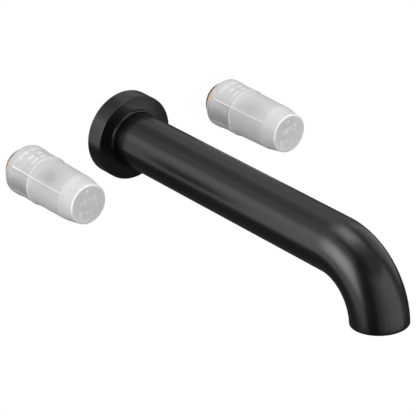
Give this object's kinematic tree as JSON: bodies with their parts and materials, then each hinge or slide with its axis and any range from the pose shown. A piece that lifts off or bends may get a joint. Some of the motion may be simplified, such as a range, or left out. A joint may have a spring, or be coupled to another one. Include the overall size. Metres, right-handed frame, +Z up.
{
  "type": "wall mounted bath faucet",
  "caption": "Wall mounted bath faucet: long matte black spout with a bent end and round escutcheon, between hot and cold valves under translucent plaster guards.",
  "frame": {"origin": "where the spout's axis meets the finished wall plane", "axes": "+Z up, +Y into the wall (the spout runs out along -Y), +X to the right of a person facing the wall"},
  "size_m": [0.1832, 0.2621, 0.0616],
  "materials": {
    "matte_black": "satin black coating with a soft sheen",
    "brass": "machined brass, slightly dulled",
    "frosted_plastic": "frosted translucent moulded plastic",
    "rubber": "smooth moulded rubber",
    "foam": "closed-cell foam, matte",
    "ceramic": "lapped alumina",
    "steel": "plain stainless steel",
    "aerator_plastic": "grey moulded plastic"
  },
  "bodies": {
    "wall_set": {"spout_tube": "matte_black", "spout_elbow": "matte_black", "spout_hub": "brass", "spout_nipple": "brass", "nipple_o_ring_rear": "rubber", "nipple_o_ring_front": "rubber", "spout_set_screw": "steel", "outlet_ring": "brass", "aerator_housing": "aerator_plastic", "aerator_honeycomb": "aerator_plastic", "aerator_screen": "steel", "flow_regulator": "aerator_plastic", "aerator_washer": "rubber", "hot_valve_barrel": "brass", "hot_seat_seal": "rubber", "hot_disc_fixed": "ceramic", "hot_cartridge_body": "brass", "hot_bonnet_nut": "brass", "hot_cap_grip_ring": "rubber", "cold_valve_barrel": "brass", "cold_seat_seal": "rubber", "cold_disc_fixed": "ceramic", "cold_cartridge_body": "brass", "cold_bonnet_nut": "brass", "cold_cap_grip_ring": "rubber"},
    "sliding_escutcheon": {"escutcheon": "matte_black", "escutcheon_gasket": "foam", "escutcheon_o_ring": "rubber"},
    "hot_valve_stem": {"hot_stem": "brass", "hot_disc_moving": "ceramic", "hot_stem_o_ring_rear": "rubber", "hot_stem_o_ring_front": "rubber", "hot_circlip": "steel"},
    "hot_guard": {"hot_cap": "frosted_plastic"},
    "cold_valve_stem": {"cold_stem": "brass", "cold_disc_moving": "ceramic", "cold_stem_o_ring_rear": "rubber", "cold_stem_o_ring_front": "rubber", "cold_circlip": "steel"},
    "cold_guard": {"cold_cap": "frosted_plastic"}
  },
  "joints": [
    {"name": "escutcheon_slide", "type": "slide", "parent": "wall_set", "child": "sliding_escutcheon", "axis": [0, -1, 0], "range_m": [0, 0.17]},
    {"name": "hot_stem_turn", "type": "hinge", "parent": "wall_set", "child": "hot_valve_stem", "pos_m": [-0.0762, 0, 0], "axis": [0, -1, 0], "range_deg": [0, 90]},
    {"name": "hot_cap_pull", "type": "slide", "parent": "hot_valve_stem", "child": "hot_guard", "axis": [0, -1, 0], "range_m": [0, 0.06]},
    {"name": "cold_stem_turn", "type": "hinge", "parent": "wall_set", "child": "cold_valve_stem", "pos_m": [0.0762, 0, 0], "axis": [0, -1, 0], "range_deg": [-90, 0]},
    {"name": "cold_cap_pull", "type": "slide", "parent": "cold_valve_stem", "child": "cold_guard", "axis": [0, -1, 0], "range_m": [0, 0.06]}
  ]
}
